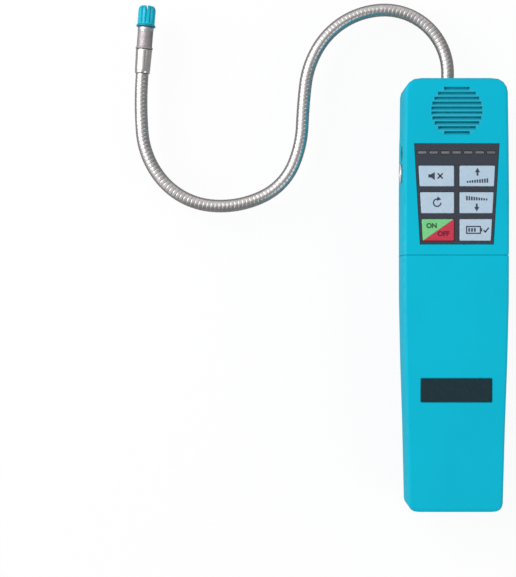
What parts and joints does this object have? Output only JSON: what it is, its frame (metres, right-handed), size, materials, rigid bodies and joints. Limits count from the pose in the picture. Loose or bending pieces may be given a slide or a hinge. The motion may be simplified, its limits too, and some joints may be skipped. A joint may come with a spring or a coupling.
{
  "type": "gas leak detector",
  "caption": "Hand-held refrigerant leak detector with a louvred speaker, keypad, light bars and a flexible metal probe with a capped sensing tip.",
  "frame": {"origin": "middle of the flat back, on the body's centre line", "axes": "+X across the body to its right as the keypad is read, +Y from the bottom end towards the probe, +Z out of the front face"},
  "size_m": [0.2011, 0.2763, 0.06],
  "materials": {
    "shell_turquoise": "fine satin moulded plastic",
    "label_dark": "dark slate printed plate, bare",
    "keypad_dark": "dark textured film",
    "key_grey": "pale blue-grey textured key",
    "key_power": "green and red halves split on the diagonal",
    "light_bar": "unlit translucent bar",
    "board_green": "green circuit board",
    "inner_black": "black moulded plastic",
    "speaker_black": "black speaker cone and frame",
    "screw_steel": "zinc-plated steel",
    "motor_steel": "plated steel",
    "cell_wrap": "plain cell sleeve",
    "tube_rubber": "silicone tube",
    "socket_brass": "turned brass",
    "gooseneck_steel": "ridged bright steel",
    "ferrule_steel": "smooth polished metal",
    "collar_metal": "fine knurled matt metal",
    "sensor_steel": "sensing element can",
    "cap_turquoise": "turquoise moulded cap",
    "jack_nickel": "bright nickel ring"
  },
  "bodies": {
    "housing": {"rear_housing": "shell_turquoise", "front_housing": "shell_turquoise", "keypad_overlay": "keypad_dark", "led_1": "light_bar", "led_2": "light_bar", "led_3": "light_bar", "led_4": "light_bar", "led_5": "light_bar", "led_6": "light_bar", "led_7": "light_bar", "main_board": "board_green", "switch_1": "inner_black", "switch_2": "inner_black", "switch_3": "inner_black", "switch_4": "inner_black", "switch_5": "inner_black", "switch_6": "inner_black", "board_screw_1": "screw_steel", "board_screw_2": "screw_steel", "board_screw_3": "screw_steel", "board_screw_4": "screw_steel", "housing_screw_1": "screw_steel", "housing_screw_2": "screw_steel", "housing_screw_3": "screw_steel", "housing_screw_4": "screw_steel", "speaker": "speaker_black", "battery_tray": "inner_black", "battery_cell_1": "cell_wrap", "battery_cell_2": "cell_wrap", "battery_spring": "screw_steel", "contact_plate": "screw_steel", "pump_motor": "motor_steel", "pump_head": "inner_black", "pump_bracket": "motor_steel", "air_tube": "tube_rubber", "probe_socket": "socket_brass", "earphone_jack": "inner_black", "power_jack": "jack_nickel"},
    "cover": {"battery_cover": "shell_turquoise", "label_plate": "label_dark", "cover_screw": "screw_steel"},
    "probe": {"gooseneck": "gooseneck_steel", "tip_ferrule": "ferrule_steel", "tip_collar": "collar_metal", "sensor_tip": "sensor_steel"},
    "tip_cap": {"tip_protector": "cap_turquoise"},
    "mute": {"mute_key": "key_grey"},
    "reset": {"reset_key": "key_grey"},
    "power": {"power_key": "key_power"},
    "sensitivity_up": {"sensitivity_up_key": "key_grey"},
    "sensitivity_down": {"sensitivity_down_key": "key_grey"},
    "battery_test": {"battery_test_key": "key_grey"}
  },
  "joints": [
    {"name": "mute_press", "type": "slide", "parent": "housing", "child": "mute", "axis": [0, 0, -1], "range_m": [0, 0.0003], "stiffness_N_per_m": 4000, "springref_m": -0.00015},
    {"name": "reset_press", "type": "slide", "parent": "housing", "child": "reset", "axis": [0, 0, -1], "range_m": [0, 0.0003], "stiffness_N_per_m": 4000, "springref_m": -0.00015},
    {"name": "power_press", "type": "slide", "parent": "housing", "child": "power", "axis": [0, 0, -1], "range_m": [0, 0.0003], "stiffness_N_per_m": 4000, "springref_m": -0.00015},
    {"name": "sensitivity_up_press", "type": "slide", "parent": "housing", "child": "sensitivity_up", "axis": [0, 0, -1], "range_m": [0, 0.0003], "stiffness_N_per_m": 4000, "springref_m": -0.00015},
    {"name": "sensitivity_down_press", "type": "slide", "parent": "housing", "child": "sensitivity_down", "axis": [0, 0, -1], "range_m": [0, 0.0003], "stiffness_N_per_m": 4000, "springref_m": -0.00015},
    {"name": "battery_test_press", "type": "slide", "parent": "housing", "child": "battery_test", "axis": [0, 0, -1], "range_m": [0, 0.0003], "stiffness_N_per_m": 4000, "springref_m": -0.00015},
    {"name": "cover_slide", "type": "slide", "parent": "housing", "child": "cover", "axis": [0, -1, 0], "range_m": [0, 0.15]},
    {"name": "probe_bend", "type": "hinge", "parent": "housing", "child": "probe", "pos_m": [0, 0.115, 0.02], "axis": [0, 0, 1], "range_deg": [-45, 25], "deforming": ["gooseneck"]},
    {"name": "tip_protector_pull", "type": "slide", "parent": "probe", "child": "tip_cap", "axis": [0.0785, 0.9969, 0], "range_m": [0, 0.02]}
  ]
}
